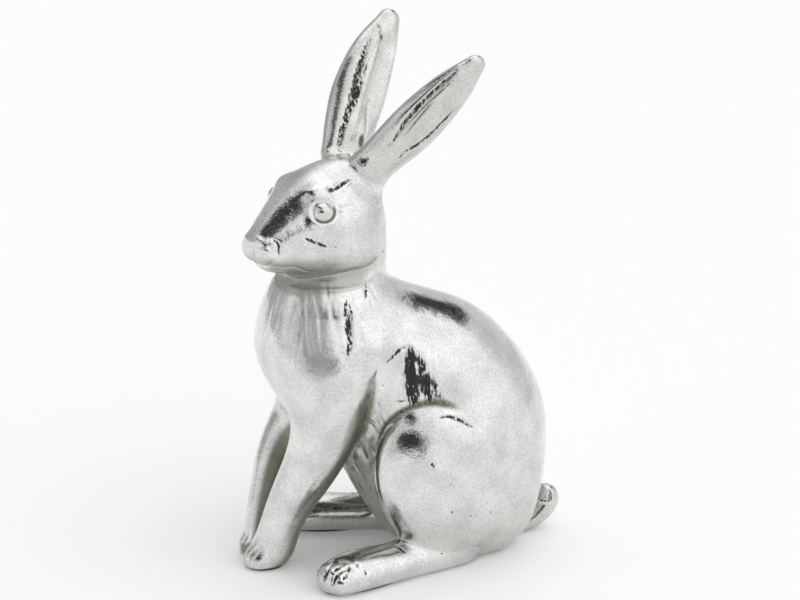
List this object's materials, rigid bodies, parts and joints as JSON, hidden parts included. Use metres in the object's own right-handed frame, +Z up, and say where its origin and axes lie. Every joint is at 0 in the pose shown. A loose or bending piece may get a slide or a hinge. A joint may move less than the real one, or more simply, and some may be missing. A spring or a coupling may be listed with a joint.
{
  "type": "hare figurine",
  "caption": "Free-standing ornament of a sitting hare with upright ears and a turned head, cast in silver-leafed resin, for a shelf or mantel.",
  "frame": {"origin": "on the shelf, under the middle of the hare as seen from above", "axes": "+Z up, +Y towards the rump and tail, +X towards the hare's left side"},
  "size_m": [0.0934, 0.1342, 0.2097],
  "materials": {
    "silver_leaf": "polished silver leaf on cast resin, with brown bole left in the creases",
    "steel_pin": "plain drawn pin",
    "felt": "pressed wool felt"
  },
  "bodies": {
    "root": {"torso": "silver_leaf", "head": "silver_leaf", "left_ear": "silver_leaf", "right_ear": "silver_leaf", "left_foreleg": "silver_leaf", "right_foreleg": "silver_leaf", "left_hind_leg": "silver_leaf", "right_hind_leg": "silver_leaf", "tail": "silver_leaf", "neck_dowel": "steel_pin", "left_ear_pin": "steel_pin", "right_ear_pin": "steel_pin", "left_shoulder_pin": "steel_pin", "right_shoulder_pin": "steel_pin", "left_hip_pin": "steel_pin", "right_hip_pin": "steel_pin", "tail_pin": "steel_pin", "left_forepaw_pad": "felt", "right_forepaw_pad": "felt", "left_hind_pad": "felt", "right_hind_pad": "felt", "rump_pad": "felt"}
  },
  "joints": []
}
